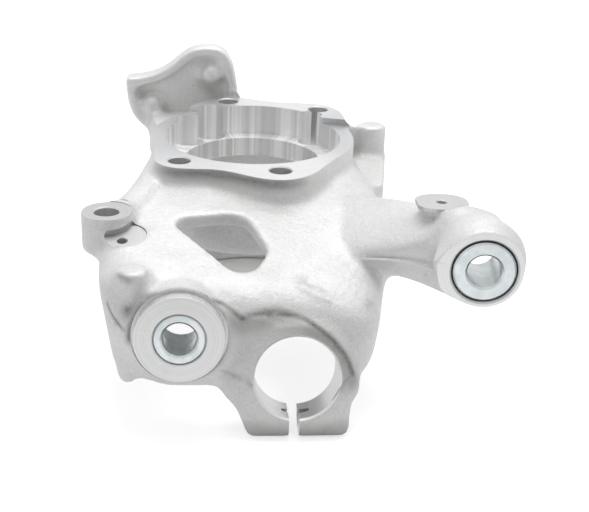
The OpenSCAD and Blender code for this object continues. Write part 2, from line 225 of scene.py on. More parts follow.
# bores of the hub: the bearing's, down to a ledge, then the shaft's, then the wide cast one
HUB_BORE = 50
LEDGE = -14
SHAFT_BORE = 39
CAST_BORE = 40

# columns of metal that the bolt holes are drilled in
COLUMN = 7
COLUMN_FOOT = -23.5
# metal left over a bore or a face: feature, radius, start and end along its axis
PLUGS = (
    (HUB, 51.5, -25.5, STOCK),
    (CLAMP, 21.5, 0, 22),
    (EAR, 12.7, -14, STOCK),
    (LEFT_PAD, 10.2, -12, 1.6),
    (RIGHT, 17.2, -STOCK, 27),
)
# places without fillets: the proud left boss, under the thin right pad, round the left pad
PLAIN_PLACES = ((LEFT, 26.5, -8, 5), (RIGHT_PAD, 17, -7, 6), (LEFT_PAD, 14, -4, 12))
# x and z of the two cast buttons in the bracket's pocket
BUTTONS = ((-61.2, -3.6), (-24.1, 16.8))
BUTTON = 6.2
BUTTON_BACK = 76
BUTTON_FRONT = 73
# ends and radius of the shoulder that joins the right pad's foot and the right boss
SHOULDER = ((96, -127, -8.5), (103, -128, -10), 15)
# hollow between the post's foot and the left boss, and metal for the left boss's face
NOTCH = ((-53, -166, -74.5), LEFT[1], 6.5, -10, 40)
LEFT_FACE_STOCK = (*LEFT, 22.0, -STOCK, 30)


def cad_points(name):
    bm = bmesh.new()
    bm.from_mesh(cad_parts[name].data)
    bmesh.ops.remove_doubles(bm, verts=bm.verts, dist=1e-7)
    points = np.array([v.co[:] for v in bm.verts]) * 1000
    faces = np.array([[v.index for v in f.verts] for f in bm.faces], dtype=np.int32)
    bm.free()
    return points, faces


points, faces = cad_points("casting")
corner = np.floor(points.min(0) / VOXEL).astype(int) - MARGIN
count = np.ceil(points.max(0) / VOXEL).astype(int) + MARGIN - corner
GX, GY, GZ = np.meshgrid(
    *[(corner[k] + np.arange(count[k])) * VOXEL for k in range(3)], indexing="ij", sparse=True)


def level_set(points, faces, quads):
    parts = {}
    if len(faces):
        parts["triangles"] = faces
    if len(quads):
        parts["quads"] = quads
    return openvdb.FloatGrid.createLevelSetFromPolygons(
        points, transform=openvdb.createLinearTransform(voxelSize=VOXEL), halfWidth=BAND,
        **parts)


def as_field(grid):
    field = np.full(tuple(count), BAND * VOXEL, dtype=np.float32)
    grid.copyToArray(field, ijk=tuple(int(c) for c in corner))
    return field


def as_grid(field):
    grid = openvdb.FloatGrid(BAND * VOXEL)
    grid.transform = openvdb.createLinearTransform(voxelSize=VOXEL)
    grid.copyFromArray(field, ijk=tuple(int(c) for c in corner))
    return grid


def moved(field, amount):
    """Field of the surface that lies this far outside the given one."""
    return as_field(level_set(*as_grid(field).convertToPolygons(amount, 0.0)))


def blurred(field, kernel):
    half = len(kernel) // 2
    for axis in range(3):
        field = sum(w * np.roll(field, k - half, axis) for k, w in enumerate(kernel))
    return field


def ramp(values, low, high):
    return np.clip((values - low) / (high - low), 0, 1)


def rod(base, axis, radius, start, end):
    """Distance to a cylinder round an axis, negative inside."""
    dx, dy, dz = GX - base[0], GY - base[1], GZ - base[2]
    along = dx * axis[0] + dy * axis[1] + dz * axis[2]
    out = np.sqrt(np.maximum(dx * dx + dy * dy + dz * dz - along * along, 0))
    return np.maximum(np.maximum(out - radius, start - along), along - end)


def capsule(a, b, radius):
    """Distance to a rod with round ends, negative inside."""
    run = [q - p for p, q in zip(a, b)]
    dx, dy, dz = GX - a[0], GY - a[1], GZ - a[2]
    t = ramp(dx * run[0] + dy * run[1] + dz * run[2], 0, sum(r * r for r in run))
    return np.sqrt((dx - t * run[0]) ** 2 + (dy - t * run[1]) ** 2
                   + (dz - t * run[2]) ** 2) - radius


def flange_radius(angle):
    r = FLANGE + 0 * angle
    for bolt, swell, sharp in zip(BOLT_ANGLES, EAR_SWELL, EAR_SHARP):
        r = r + swell * np.power(np.maximum(0, np.cos(angle - bolt)), sharp)
    return r


def round_hub(angle, distance):
    """Base and axis of a hole that stands beside the hub's axis."""
    return (distance * math.cos(angle), distance * math.sin(angle), 0), HUB[1]


def with_stock(field):
    across = -GX * math.sin(TURN) + GY * math.cos(TURN)
    top = np.where(across > STEP_Y - 1, RISE + STOCK, STOCK)
    beyond = np.hypot(GX, GY) - flange_radius(np.arctan2(GY, GX))
    metal = [np.maximum(np.maximum(beyond, GZ - top), -FLANGE_THICK - GZ), capsule(*SHOULDER)]
    metal += [rod(*feature, radius, start, end) for feature, radius, start, end in PLUGS]
    metal += [capsule((x, BUTTON_BACK, z), (x, BUTTON_FRONT, z + 0.4), BUTTON)
              for x, z in BUTTONS]
    metal += [rod(*round_hub(math.radians(turn), distance), wide / 2 + 1, bottom - 1, STOCK)
              for turn, distance, bottom, wide in RELIEFS]
    metal += [rod(*round_hub(angle, BOLT_RADIUS), COLUMN, COLUMN_FOOT, STOCK)
              for angle in BOLT_ANGLES]
    for part in metal:
        field = np.minimum(field, part)
    for gap in (rod(*HUB, SHAFT_BORE - 1, -70, 20), rod(*HUB, CAST_BORE, -70, -24.3),
                rod(*NOTCH)):
        field = np.maximum(field, -gap)
    return field


def with_fillets(field):
    """Inside corners are filled: the surface grows by a radius and then shrinks again."""
    filled = moved(field, FILLET) + FILLET
    small = moved(field, SMALL_FILLET) + SMALL_FILLET
    plain = moved(field, 0.0)
    bracket = ramp(GY, 56, 64) * ramp(GZ, -24, -14)
    filled = filled * (1 - bracket) + small * bracket
    nearest = np.minimum.reduce([rod(*feature, *size) for feature, *size in PLAIN_PLACES])
    away = ramp(nearest, 0, 1.5)
    return np.minimum(plain, filled * away + plain * (1 - away))


def with_round_edges(field):
    """The outer edges of the cast front are rounded: it shrinks and then grows again."""
    opened = moved(field, -ROUNDING) - ROUNDING
    front = ramp(-GY, 133, 139) * ramp(-GZ, 18, 24) * ramp(-GX, -68, -62)
    return field + front * np.maximum(opened - field, 0)


def blank():
    """The blank's points and faces, and the field of how hollow each place is."""
    field = with_round_edges(with_fillets(with_stock(as_field(level_set(points, faces, ())))))
    field = np.minimum(field, rod(*LEFT_FACE_STOCK))
    field = blurred(field, BLUR)
    made = as_grid(field).convertToPolygons(0.0, 0.01)
    # mean of the clipped distance round a point: above 0 in a hollow, below 0 on an edge
    near = np.clip(field / HOLLOW_REACH, -1, 1)
    return made, -blurred(blurred(near, HOLLOW_BOX), HOLLOW_BOX)


def solid(name, verts, polygons, material):
    mesh = bpy.data.meshes.new(name)
    mesh.from_pydata([tuple(v) for v in verts], [], [tuple(p) for p in polygons])
    mesh.materials.append(material)
    made = bpy.data.objects.new(name, mesh)
    bpy.context.collection.objects.link(made)
    return made


def outward(piece):
    bm = bmesh.new()
    bm.from_mesh(piece.data)
    bmesh.ops.recalc_face_normals(bm, faces=bm.faces)
    if bm.calc_volume(signed=True) < 0:
        bmesh.ops.reverse_faces(bm, faces=bm.faces)
    bm.to_mesh(piece.data)
    bm.free()
    return piece


(verts, tris, quads), hollow = blank()
casting = outward(
    solid("knuckle_casting", verts / 1000, [*tris.tolist(), *quads.tolist()], CAST))

# Machined finish. Faces and bores that were turned, bored or milled are bright. Their tool
# marks run round the tool's axis: rings on a face and bands down a bore. On top come painted
# reflections: light and dark streaks on the hub bore's wall, and two darker wings across the
# flange's face.
CUT_DULL = (0.80, 0.805, 0.81)
CUT_BRIGHT = (1.12, 1.12, 1.12)
CUT_CLOUD = (0.7, 0.7, 0.69)
PAINTED_STREAK_DARK = (0.77, 0.77, 0.77)
PAINTED_GLEAM = (1.0, 1.0, 0.99)
PAINTED_REFLECTION_WING = (0.62, 0.63, 0.65)
CUT_DEPTH = 0.00006


def machined(name, feature, marks, pale, rough=0.26, coarse=1.0, metal=0.9):
    """Bright finish with marks round a feature: rings or bands, or painted reflection streaks or
    wings.
    """
    def shade(colour):
        return tuple(min(1, pale * c) for c in colour)

    f = Finish(bpy.data.materials.new(name))
    base, axis = feature
    where = f.vector("SUBTRACT", f.place(), tuple(c / 1000 for c in base))
    along = f.vector("DOT_PRODUCT", where, axis, out="Value")
    reach = f.vector("DOT_PRODUCT", where, where, out="Value")
    off_axis = (reach - along * along).at_least(0.0) ** 0.5
    beside = f.vector("SUBTRACT", where, f.node(
        "VectorMath", dict(operation="SCALE"), {0: axis, "Scale": along}))
    outwards = f.vector("NORMALIZE", beside)
    run = (along if marks == "bands" else off_axis) * 1000

    def lines(scale, detail, rough):
        return f.node("TexNoise", dict(noise_dimensions="1D"), {
            "W": run, "Scale": scale * coarse, "Detail": detail, "Roughness": rough})

    fine = lines(2.6, 3.0, 0.7)
    broad = lines(0.35, 2.0, 0.5)
    wobble = f.noise(where, 40, 2, 0.5)
    clouds = f.noise(where, 55, 3, 0.6)
    tone = f.mix(fine.between(0.3, 0.7) * 0.6 + broad * 0.3, shade(CUT_DULL), shade(CUT_BRIGHT))
    # painted reflections: light and dark streaks round the hub bore, and small painted gleams
    if marks == "reflection_streaks":
        reflection_strips = f.noise(outwards, 5, 2, 0.6)
        painted_gleams = f.noise(outwards, 14, 1, 0.5)
        tone = f.mix(reflection_strips.between(0.40, 0.60), shade(PAINTED_STREAK_DARK), shade(CUT_BRIGHT))
        tone = f.mix(painted_gleams.between(0.60, 0.66), tone, PAINTED_GLEAM)
    # painted reflection: the flange's face is darker at its left and right ends
    if marks == "reflection_wings":
        sideways = f.node("SeparateXYZ", None, {0: outwards})
        tone = f.mix((sideways * sideways).between(0.25, 0.9) * 0.6, tone, shade(PAINTED_REFLECTION_WING))
    tone = f.mix(clouds.between(0.55, 0.8) * 0.25, tone, shade(CUT_CLOUD))
    height = fine * 0.7 + broad * 0.5 + wobble * 0.2
    return f.surface(
        Base_Color=tone, Metallic=metal, Roughness=rough + 0.12 * broad + 0.08 * clouds,
        Normal=f.bump(height, CUT_DEPTH, 0.9))


FACED_HUB = machined("faced_flange", HUB, "reflection_wings", pale=0.82)
BORED_HUB = machined("bored_hub", HUB, "reflection_streaks", pale=0.97, rough=0.36, metal=0.5)
BORED_CLAMP = machined("bored_clamp", CLAMP, "bands", pale=0.78, rough=0.22)
FACED_LEFT = machined("faced_left_boss", LEFT, "rings", pale=0.67, coarse=0.8)
FACED_RIGHT = machined("faced_right_boss", RIGHT, "rings", pale=0.72)
FACED_EAR = machined("faced_ear", EAR, "rings", pale=0.57, rough=0.38)
FACED_LEFT_PAD = machined("faced_left_pad", LEFT_PAD, "rings", pale=0.52, rough=0.45)
FACED_RIGHT_PAD = machined("faced_right_pad", RIGHT_PAD, "rings", pale=0.6, rough=0.34)
DRILLED = machined("drilled_holes", HUB, "bands", pale=0.74, rough=0.34, metal=0.75)

# Machining. The blank goes to the machine, where each cutter leaves one face, bore, hole or
# slot in its own bright finish. Sizes are in mm, and heights run along the feature's axis,
# which points out of the metal at the hub, ear and pads and into it at clamp and bosses.
MILL_OVERLAP = 1.2
MILL_TOP = 12
BRACKET_Y = 68.5


def axes_at(base, axis, sideways=(1, 0, 0)):
    """Placement whose local Z is the axis, in metres."""
    z = Vector(axis).normalized()
    x = Vector(sideways)
    x = (x - z * x.dot(z)).normalized()
    turn = Matrix((x, z.cross(x), z)).transposed().to_4x4()
    return Matrix.Translation(Vector(base) / 1000) @ turn


def put(placement, x, y, z):
    return placement @ Vector((x / 1000, y / 1000, z / 1000))


def turned(name, profile, placement, material, steps=96):
    """Solid of revolution from (radius, height) points that start and end on the axis."""
    ring = [(r, h) for r, h in profile if r > 0]
    n = len(ring)
    verts = [put(placement, 0, 0, profile[0][1]), put(placement, 0, 0, profile[-1][1])]
    polygons = []
    for k in range(steps):
        angle = 2 * math.pi * k / steps
        verts += [put(placement, r * math.cos(angle), r * math.sin(angle), h) for r, h in ring]
        a, b = 2 + k * n, 2 + (k + 1) % steps * n
        polygons += [(0, a, b), (1, b + n - 1, a + n - 1)]
        polygons += [(a + i, a + i + 1, b + i + 1, b + i) for i in range(n - 1)]
    return outward(solid(name, verts, polygons, material))


def turned_ring(name, profile, placement, material, steps=96):
    """Ring swept round the axis from a closed loop of (radius, height) points."""
    n = len(profile)
    verts, polygons = [], []
    for k in range(steps):
        angle = 2 * math.pi * k / steps
        verts += [put(placement, r * math.cos(angle), r * math.sin(angle), h)
                  for r, h in profile]
        a, b = k * n, (k + 1) % steps * n
        polygons += [(a + i, a + (i + 1) % n, b + (i + 1) % n, b + i) for i in range(n)]
    return outward(solid(name, verts, polygons, material))


def prism(name, outline, start, end, placement, material):
    n = len(outline)
    verts = [put(placement, x, y, h) for h in (start, end) for x, y in outline]
    polygons = [tuple(range(n)), tuple(range(2 * n - 1, n - 1, -1))]
    polygons += [(i, (i + 1) % n, (i + 1) % n + n, i + n) for i in range(n)]
    return outward(solid(name, verts, polygons, material))


def settle(piece, step):
    """What the modifier shows becomes the piece's own plain mesh."""
    seen = piece.evaluated_get(bpy.context.evaluated_depsgraph_get())
    mesh = bpy.data.meshes.new_from_object(seen)
    piece.modifiers.remove(step)
    old = piece.data
    piece.data = mesh
    bpy.data.meshes.remove(old)


def cut(tool, operation="DIFFERENCE"):
    """Work the casting with one tool, which hands its finish to the new faces."""
    step = casting.modifiers.new("cut", "BOOLEAN")
    step.operation = operation
    step.solver = "MANIFOLD"
    step.material_mode = "TRANSFER"
    step.object = tool
    settle(casting, step)
    bpy.data.objects.remove(tool)


def hole(radius, far, bevel, clear, mouth=0, widen=None, point=0):
    """Profile of a hole with a bevelled mouth, from clear outside it to its far end."""
    way = 1 if far > mouth else -1
    wide = radius + (bevel if widen is None else widen)
    return [(0, clear), (wide, clear), (wide, mouth), (radius, mouth + way * bevel),
            (radius, far), (0, far + way * point)]


def face(radius, clear, height=0):
    """Profile of a facing tool, from clear outside the face down to its height."""
    return [(0, clear), (radius, clear), (radius, height), (0, height)]


def oval(a, b, squareness, steps=64):
    out = []
    for k in range(steps):
        t = 2 * math.pi * k / steps
        c, s = math.cos(t), math.sin(t)
        out.append((a * math.copysign(abs(c) ** (2 / squareness), c),
                    b * math.copysign(abs(s) ** (2 / squareness), s)))
    return out


def mill_radius(angle):
    return float(flange_radius(np.float64(angle))) + MILL_OVERLAP


def step_end(side):
    """Angle and place at which the step leaves the flange."""
    r = 62.0
    for _ in range(6):
        lean = math.asin(STEP_Y / r)
        angle = lean if side > 0 else math.pi - lean
        r = mill_radius(TURN + angle)
    return angle, (r * math.cos(angle), STEP_Y)


def front_outline(steps=180):
    """Flange in front of the step, in the turned pattern's own axes."""
    first, first_at = step_end(1)
    last, last_at = step_end(-1)
    outline = [last_at]
    for k in range(1, steps):
        angle = last + (first + 2 * math.pi - last) * k / steps
        r = mill_radius(TURN + angle)
        outline.append((r * math.cos(angle), r * math.sin(angle)))
    return outline + [first_at]


def rear_outline(steps=180):
    """Flange behind the step, up to the foot of the bracket."""
    outline = []
    for k in range(steps + 1):
        angle = TURN + math.pi * k / steps
        r = mill_radius(angle)
        x, y = r * math.cos(angle), min(r * math.sin(angle), BRACKET_Y)
        if -x * math.sin(TURN) + y * math.cos(TURN) > STEP_Y - 2:
            outline.append((x, y))
    return outline


# the hub: its flange is milled at two heights, then come its bores, reliefs and bolt holes
hub = axes_at(*HUB)
pattern = hub @ Matrix.Rotation(TURN, 4, "Z")
SHAFT_END = -24.6
HUB_CLEAR = 14
cut(prism("mill_front", front_outline(), 0, MILL_TOP, pattern, FACED_HUB))
cut(prism("mill_rear", rear_outline(), RISE, MILL_TOP, hub, FACED_HUB))
hub_tool = [(0, HUB_CLEAR), (HUB_BORE, HUB_CLEAR), (HUB_BORE, LEDGE), (SHAFT_BORE, LEDGE),
            (SHAFT_BORE, SHAFT_END), (0, SHAFT_END)]
cut(turned("bore_hub", hub_tool, hub, BORED_HUB, steps=160))
for turn, distance, bottom, wide in RELIEFS:
    tool = [(0, HUB_CLEAR), (wide / 2, HUB_CLEAR), (wide / 2, bottom + 1),
            (wide / 2 - 1, bottom), (0, bottom)]
    at = axes_at(*round_hub(math.radians(turn), distance))
    cut(turned("relief", tool, at, BORED_HUB, steps=64))
BOLT_HOLE = 6
for angle, mouth in zip(BOLT_ANGLES, (0, 0, RISE, RISE)):
    tool = hole(BOLT_HOLE, -45, bevel=0.6, clear=11, mouth=mouth)
    cut(turned("drill", tool, axes_at(*round_hub(angle, BOLT_RADIUS)), DRILLED, steps=64))

# the clamp's bore, the slot below it, and the hole of the bolt that pinches it
clamp = axes_at(*CLAMP)
CLAMP_BORE = 20
SLOT = [(-3.45, 0), (1.45, 0), (1.45, 50), (-3.45, 50)]
PINCH_HOLE = 4
PINCH_FROM = (-60, 22.8, 11)
cut(turned("bore_clamp", hole(CLAMP_BORE, 80, bevel=1, clear=-9), clamp, BORED_CLAMP,
           steps=128))
cut(prism("saw_slot", SLOT, -20, 60, clamp, BORED_CLAMP))
pinch = axes_at(put(clamp, *PINCH_FROM) * 1000, (1, 0, 0), (0, 0, 1))
cut(turned("drill_pinch", face(PINCH_HOLE, 120), pinch, DRILLED, steps=48))

# the left boss: a faced ring, a groove round it, and the seat of the sleeve
left = axes_at(*LEFT)
LEFT_FACE = 27
LEFT_SEAT = 12.15
LEFT_GROOVE = [(20.4, -9), (22.7, -9), (22.7, 5.4), (22.1, 6), (20.8, 6), (20.8, 0.4), (20.4, 0)]
cut(turned("face_left", face(LEFT_FACE, -8), left, FACED_LEFT))
cut(turned_ring("groove_left", LEFT_GROOVE, left, DRILLED))
cut(turned("bore_left", hole(LEFT_SEAT, 60, bevel=0.5, clear=-9, widen=0.45), left, DRILLED))

# the right boss: its seat has a narrow lip in front of the rubber
right = axes_at(*RIGHT)
RIGHT_FACE = 34
RIGHT_SEAT = [(0, -9), (16.0, -9), (16.0, 0), (15.1, 0.9), (15.1, 2.7), (15.72, 2.7),
              (15.72, 60), (0, 60)]
cut(turned("face_right", face(RIGHT_FACE, -8), right, FACED_RIGHT))
cut(turned("bore_right", RIGHT_SEAT, right, DRILLED))

# the side ear: trimmed a little above its face, faced and drilled
ear = axes_at(*EAR)
EAR_TRIM = 16.5
EAR_FACE = 13.3
EAR_HOLE = 6.25
cut(turned("trim_ear", face(EAR_TRIM, 8, height=0.3), ear, CAST))
cut(turned("face_ear", face(EAR_FACE, 8), ear, FACED_EAR))
cut(turned("drill_ear", hole(EAR_HOLE, -16, bevel=0.75, clear=9, point=1), ear, DRILLED,
           steps=64))

# the right pad is a thin plate that stands over the arm
right_pad = axes_at(*RIGHT_PAD)
PAD_SQUARENESS = 2.4
PLATE_THICK = 1.8
PAD_HOLE = 2.5
mill = oval(15, 13, PAD_SQUARENESS)
plate = [(max(x, -12.2), y) for x, y in oval(13, 10.66, PAD_SQUARENESS)]
cut(prism("face_right_pad", mill, 0, 6, right_pad, FACED_RIGHT_PAD))
cut(prism("plate_right_pad", plate, -PLATE_THICK, 0, right_pad, FACED_RIGHT_PAD), "UNION")
tool = hole(PAD_HOLE, -14, bevel=0.6, clear=8, point=1)
cut(turned("drill_right_pad", tool, right_pad, DRILLED, steps=32))

# the left pad is a spot face in the skin, which stops at the wall of the ear
left_pad = axes_at(*LEFT_PAD)
SPOT = 10.4
EAR_WALL = 12.9
SPOT_DEPTH = 0.3
DRILLED_AT = (-1.6, -3.8, 0)


def spot_outline(steps=72):
    ear_x = EAR[0][0] - LEFT_PAD[0][0]
    ear_y = (EAR[0][1] - LEFT_PAD[0][1]) / math.cos(PAD_TILT)
    outline = []
    for k in range(steps):
        angle = 2 * math.pi * k / steps
        x, y = math.cos(angle), math.sin(angle)
        near = x * ear_x + y * ear_y
        room = EAR_WALL ** 2 - (ear_x ** 2 + ear_y ** 2 - near ** 2)
        r = SPOT
        if near > 0 and room > 0:
            r = min(r, near - math.sqrt(room))
        outline.append((r * x, r * y))
    return outline


cut(prism("face_left_pad", spot_outline(), -SPOT_DEPTH, 7, left_pad, FACED_LEFT_PAD))
off_centre = left_pad @ Matrix.Translation(Vector(DRILLED_AT) / 1000)
tool = hole(PAD_HOLE, -12, bevel=0.6, clear=8, point=1)
cut(turned("drill_left_pad", tool, off_centre, DRILLED, steps=32))

# Joints of the mould. Where the halves and cores of the mould met, the metal stands up in
# thin lines: one along the arm, and short ones on the front and the left wall. Each is a
# round line along a path in mm, with a half width in mm, and narrower at both ends.
ARM_JOINT = 0.7
FRONT_JOINT = 0.32
JOINT_END = 0.25
JOINT_SIDES = 8
# the arm's front edge, by its reach in x and Bezier curves for y and z, and how its joint
# lies there: sunk this far in the metal, along this stretch, in this many steps
ARM_X = (36, 94)
ARM_Y = (-98, -128, -131, -138)
ARM_Z = (-34, -20, -17, -28)
ARM_SUNK = 0.1
ARM_STRETCH = (0.12, 0.98)
ARM_STEPS = 20
JOINTS = [
    [(-71.1, -147.2, -34.5), (-69.3, -149.4, -38.5), (-66.9, -151.7, -41.9),
     (-63.1, -155, -44.9)],
    [(-18.3, -158.8, -63.2), (-14.1, -159.2, -65.2), (-10, -160.3, -66.7),
     (-6.7, -161.4, -67.8), (-3.9, -162, -69.8)],
    [(41.7, -161.3, -65.2), (39.4, -162, -67.5), (36.7, -162.3, -71.1),
     (34.6, -162.6, -75.3), (32.8, -163, -78.5)],
]


def bezier(p, t):
    return (p[0] * (1 - t) ** 3 + 3 * p[1] * (1 - t) ** 2 * t + 3 * p[2] * (1 - t) * t * t
            + p[3] * t ** 3)


def joint_tree():
    """Geometry Nodes that sweep a circle along a path of edges."""
    tree = bpy.data.node_groups.new("mould_joint", "GeometryNodeTree")
    for name, kind in (("Path", "Geometry"), ("Half Width", "Float"), ("End Share", "Float"),
                       ("Sides", "Int"), ("Skin", "Material")):
        tree.interface.new_socket(name, in_out="INPUT", socket_type="NodeSocket" + kind)
    tree.interface.new_socket("Joint", in_out="OUTPUT", socket_type="NodeSocketGeometry")

    def add(kind, sockets=None, **settings):
        made = tree.nodes.new(kind)
        for key, value in settings.items():
            setattr(made, key, value)
        for key, value in (sockets or {}).items():
            if isinstance(value, bpy.types.NodeSocket):
                tree.links.new(value, made.inputs[key])
            else:
                made.inputs[key].default_value = value
        return made.outputs

    given = add("NodeGroupInput")
    path = add("GeometryNodeMeshToCurve", {"Mesh": given["Path"]})
    level = add("GeometryNodeSetCurveNormal", {"Curve": path["Curve"]}, mode="Z_UP")
    ends = add("GeometryNodeCurveEndpointSelection")
    share = add("GeometryNodeSwitch", {"Switch": ends["Selection"], "False": 1.0,
                                       "True": given["End Share"]}, input_type="FLOAT")
    circle = add("GeometryNodeCurvePrimitiveCircle", {"Resolution": given["Sides"],
                                                      "Radius": given["Half Width"]})
    swept = add("GeometryNodeCurveToMesh", {
        "Curve": level["Curve"], "Profile Curve": circle["Curve"], "Scale": share["Output"],
        "Fill Caps": True})
    real = add("GeometryNodeRealizeInstances", {"Geometry": swept["Mesh"]})
    cast = add("GeometryNodeSetMaterial", {"Geometry": real["Geometry"],
                                           "Material": given["Skin"]})
    add("NodeGroupOutput", {"Joint": cast["Geometry"]})
    return tree


JOINT_TREE = joint_tree()


def joint(name, path, half_width):
    mesh = bpy.data.meshes.new(name)
    mesh.from_pydata([tuple(Vector(p) / 1000) for p in path],
                     [(k, k + 1) for k in range(len(path) - 1)], [])
    made = bpy.data.objects.new(name, mesh)
    bpy.context.collection.objects.link(made)
    sweep = made.modifiers.new("sweep", "NODES")
    sweep.node_group = JOINT_TREE
    sizes = {"Half Width": half_width / 1000, "End Share": JOINT_END, "Sides": JOINT_SIDES,
             "Skin": CAST}
    for socket in JOINT_TREE.interface.items_tree:
        if socket.name in sizes:
            sweep[socket.identifier] = sizes[socket.name]
    settle(made, sweep)
    return outward(made)


arm_path = []
for k in range(ARM_STEPS + 1):
    t = ARM_STRETCH[0] + (ARM_STRETCH[1] - ARM_STRETCH[0]) * k / ARM_STEPS
    arm_path.append((ARM_X[0] + (ARM_X[1] - ARM_X[0]) * t, bezier(ARM_Y, t) + ARM_SUNK,
                     bezier(ARM_Z, t)))
cut(joint("joint_arm", arm_path, ARM_JOINT), "UNION")
for number, path in enumerate(JOINTS):
    cut(joint("joint_%d" % number, path, FRONT_JOINT), "UNION")

# Soot and painted shade. Painted shade lies along the brow over the clamp and the left boss,
# on the post, in the fillet under the flange's front and at the foot of the clamp. Soot lies
# along the joints and in scratches on the front. Paths are in mm, with half width and strength.
BROW = [
    (-61.7, -152.6, -35.3), (-55.8, -152.2, -31.5), (-51.1, -154.1, -28.5), (-46.4, -156, -26),
    (-41.4, -156, -24.5), (-36.5, -156, -24.3), (-32.5, -156, -25), (-28.5, -156, -26.3),
    (-24, -155, -28.8), (-19.4, -150.5, -33.1), (-14.4, -151.7, -36.3), (-9.3, -153.2, -39.6),
    (-4.2, -151.5, -38.4), (1.3, -150.8, -37.7), (8.3, -150.6, -37.8), (13.9, -150.8, -38.8),
    (19, -151.6, -40.4), (23.5, -154.6, -41.4), (27.6, -156.3, -43.7), (32.8, -157.9, -48.1),
    (37.6, -159.1, -53.7), (41.1, -159.9, -59.6), (42.7, -160.3, -64.7)]
UNDER_BROW = [(x, y - 1.5, z - 3.2) for x, y, z in BROW[9:]]
OVER_LEFT = [put(left, 23.5 * math.cos(angle), 23.5 * math.sin(angle), 6.5) * 1000
             for angle in (math.radians(a) for a in range(-185, -19, 10))]
SOOT_AND_SHADE_PATHS = [
    # painted shade: along the brow, under it, over the left boss, at the brow's left end and on
    # the post
    (BROW, 1.8, 1.0),
    (UNDER_BROW, 5, 0.5),
    (OVER_LEFT, 2.6, 1.0),
    ([(-61.2, -153.1, -36.1), (-57.6, -152.7, -33.8), (-53.9, -152.1, -31),
      (-50.2, -154.5, -27.8)], 3.4, 0.7),
    ([(-64.6, -149.5, -19), (-62.6, -152.3, -19.4), (-60.8, -152.7, -20.7)], 2.0, 0.5),
    # soot in scratches on the front, a dark mark below a button on the bracket, and a short dark
    # mark on the right of the front
    ([(17, -135.2, -28.7), (20.7, -136.1, -29.3), (24.4, -138.3, -30.3),
      (28.6, -139.4, -31.3)], 1.5, 0.34),
    ([(19, -140.6, -30.8), (22.7, -142.3, -32), (26.3, -144.5, -33.5),
      (31.9, -145.5, -35.1)], 1.6, 0.28),
    ([(-30.3, 75, 10.1), (-26.5, 75, 7.6), (-22.7, 75, 4.4)], 3.5, 0.4),
    ([(50.7, -139.4, -36.5), (52.7, -139.8, -37.9), (49.4, -142.9, -38)], 1.2, 0.4),
] + [(path, 0.9, 0.45) for path in JOINTS]
# painted shadow under the flange: middle of the shadowed part, cosines at which it ends and is
# full, strength
FLANGE_FRONT = math.radians(-104)
FLANGE_SPREAD = (0.80, 0.92)
FLANGE_PAINTED_SHADOW = 0.85
# painted shade at the clamp's foot, darker towards the bottom: heights and depths below and in
# front of the hub, and strength
FOOT_BELOW = (86, 96)
FOOT_AHEAD = (150, 160)
FOOT_PAINTED_SHADE = 0.75
SHARP = math.radians(32)


def soot_and_shade_at(where):
    soot_and_shade = np.zeros(len(where))
    for path, wide, strength in SOOT_AND_SHADE_PATHS:
        gap = np.full(len(where), 99.0)
        for a, b in zip(path, path[1:]):
            a, b = np.array(a), np.array(b)
            t = np.clip((where - a) @ (b - a) / ((b - a) @ (b - a)), 0, 1)
            gap = np.minimum(gap, np.linalg.norm(where - a - t[:, None] * (b - a), axis=1))
        soot_and_shade = np.maximum(soot_and_shade, strength * np.exp(-(gap / wide) ** 2))
    x, y, z = where.T
    angle = np.arctan2(y, x)
    beyond = np.hypot(x, y) - flange_radius(angle)
    in_front = ramp(np.cos(angle - FLANGE_FRONT), *FLANGE_SPREAD)
    below = np.exp(-((beyond - 0.5) / 3) ** 2) * np.exp(-((z + 2.4) / 3.6) ** 2)
    foot = ramp(-z, *FOOT_BELOW) * ramp(-y, *FOOT_AHEAD)
    return np.maximum.reduce([soot_and_shade, FLANGE_PAINTED_SHADOW * in_front * below, FOOT_PAINTED_SHADE * foot])


def hollow_at(where):
    """The hollow field at these places, blended from the eight grid points round each."""
    at = where / VOXEL - corner
    low = np.clip(np.floor(at).astype(int), 0, count - 2)
    part = np.clip(at - low, 0, 1)
    found = np.zeros(len(where))
    for step in np.ndindex(2, 2, 2):
        weight = np.prod(np.where(step, part, 1 - part), axis=1)
        found += weight * hollow[tuple((low + step).T)]
    return found


def smooth(piece):
    for p in piece.data.polygons:
        p.use_smooth = True
    piece.data.set_sharp_from_angle(angle=SHARP)


where = np.array([v.co[:] for v in casting.data.vertices]) * 1000
for name, values in (("hollow", hollow_at(where)), ("soot_and_shade", soot_and_shade_at(where))):
    layer = casting.data.attributes.new(name, "FLOAT", "POINT")
    layer.data.foreach_set("value", values.astype(np.float32))
smooth(casting)
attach(casting, "root")
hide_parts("casting")

# Steel sleeves. A zinc-plated steel sleeve sits in each bush, pressed in on the left and
# bonded into rubber on the right. Both ends are chamfered, and the left one is bored wider
# behind its first 12 mm.
ZINC_DULL = (0.53, 0.57, 0.58)
ZINC_BRIGHT = (0.68, 0.71, 0.72)
SLEEVE_BORE = 7.9
LEFT_SLEEVE = 12.1
LEFT_LENGTH = 34
LEFT_RELIEF = (12, 10.4)
RIGHT_SLEEVE = 14.3
RIGHT_LENGTH = 28


def plated_steel():
    f = Finish(bpy.data.materials.new("plated_steel"))
    where = f.place()
    clouds = f.noise(where, 120, 3, 0.6)
    fine = f.noise(where, 1400, 2, 0.6)
    tone = f.mix(clouds.between(0.35, 0.7), ZINC_DULL, ZINC_BRIGHT)
    return f.surface(Base_Color=tone, Metallic=1.0, Roughness=0.24 + clouds * 0.12,
                     Normal=f.bump(fine, 0.00005, 0.6))


